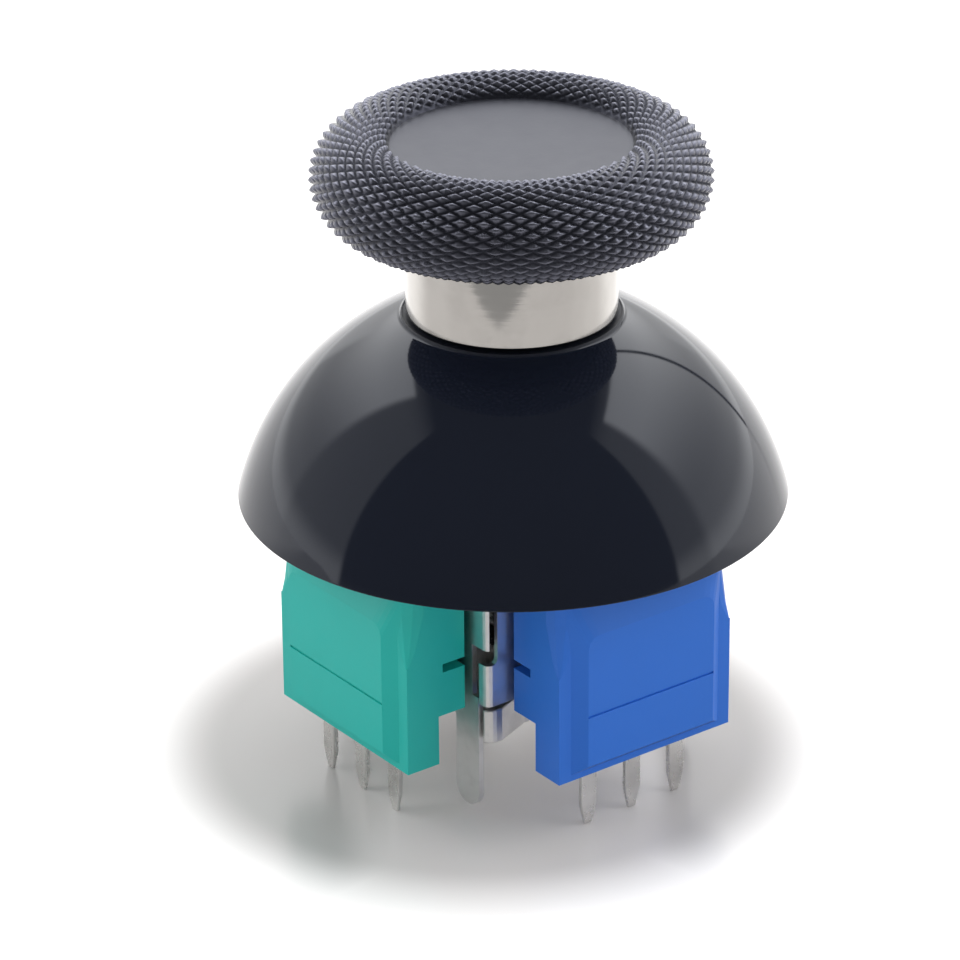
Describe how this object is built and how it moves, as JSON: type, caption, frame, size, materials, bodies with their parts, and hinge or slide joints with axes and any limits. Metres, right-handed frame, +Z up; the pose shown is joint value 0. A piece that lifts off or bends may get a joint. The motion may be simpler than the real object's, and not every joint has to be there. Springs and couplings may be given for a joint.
{
  "type": "controller analog stick module",
  "caption": "Thumb stick module of a game controller: knurled cap on a dome over a two-axis gimbal with magnetic angle sensors and a click switch.",
  "frame": {"origin": "on the stick's axis, level with the tips of the sensor pins, which is the middle of the underside of the part's box", "axes": "+Z up along the stick at rest, +X out of the blue sensor cover, -Y out of the green sensor cover"},
  "size_m": [0.025, 0.025, 0.0302],
  "materials": {
    "cap": "satin knurled",
    "dome": "polished black",
    "ring": "turned",
    "can": "bright tinned sheet",
    "base": "satin",
    "pins": "tinned",
    "green": "fine satin",
    "blue": "fine satin",
    "black": "moulded",
    "grey": "moulded",
    "white": "moulded",
    "board": "coated laminate",
    "chip": "moulded resin",
    "magnet": "plated",
    "spring": "drawn wire"
  },
  "bodies": {
    "base": {"frame_can": "can", "base_plate": "base", "right_cover": "blue", "right_board": "board", "right_chip": "chip", "right_pin_1": "pins", "right_pin_2": "pins", "right_pin_3": "pins", "front_cover": "green", "front_board": "board", "front_chip": "chip", "front_pin_1": "pins", "front_pin_2": "pins", "front_pin_3": "pins", "switch_body": "black", "switch_snap": "can", "switch_cover": "can", "switch_pin_1": "pins", "switch_pin_2": "pins", "switch_pin_3": "pins", "switch_pin_4": "pins"},
    "right_rotor": {"right_rotor": "white", "right_magnet": "magnet"},
    "lower_rocker": {"lower_rocker": "black", "lever_pin": "spring"},
    "lever": {"lever": "white", "return_spring": "spring", "stick_dome": "dome", "wear_ring": "ring", "thumb_cap": "cap"},
    "spring_dish": {"spring_dish": "black"},
    "upper_rocker": {"upper_rocker": "grey", "front_rotor": "white", "front_magnet": "magnet"},
    "switch_plunger": {"switch_plunger": "white"}
  },
  "joints": [
    {"name": "tilt_side", "type": "hinge", "parent": "base", "child": "right_rotor", "pos_m": [0, 0, 0.00945], "axis": [1, 0, 0], "range_deg": [-20, 20], "stiffness_Nm_per_rad": 0.03},
    {"name": "click", "type": "hinge", "parent": "right_rotor", "child": "lower_rocker", "pos_m": [0.0062, 0, 0.00945], "axis": [0, -1, 0], "range_deg": [0, 1.2], "stiffness_Nm_per_rad": 1.6},
    {"name": "tilt_fore", "type": "hinge", "parent": "lower_rocker", "child": "lever", "pos_m": [0, 0, 0.00945], "axis": [0, 1, 0], "range_deg": [-20, 20], "stiffness_Nm_per_rad": 0.03},
    {"name": "arch_turn", "type": "hinge", "parent": "base", "child": "upper_rocker", "pos_m": [0, 0, 0.00945], "axis": [0, 1, 0], "range_deg": [-21, 21]},
    {"name": "plunger_travel", "type": "slide", "parent": "base", "child": "switch_plunger", "axis": [0, 0, -1], "range_m": [0, 0.0003]},
    {"name": "dish_slide", "type": "slide", "parent": "lever", "child": "spring_dish", "axis": [0, 0, 1], "range_m": [0, 0.0005], "stiffness_N_per_m": 400, "deforming": ["return_spring"]}
  ],
  "couplings": [
    {"joint": "arch_turn", "follows": "tilt_fore", "ratio": 1},
    {"joint": "plunger_travel", "follows": "click", "m_per_rad": 0.01415}
  ]
}
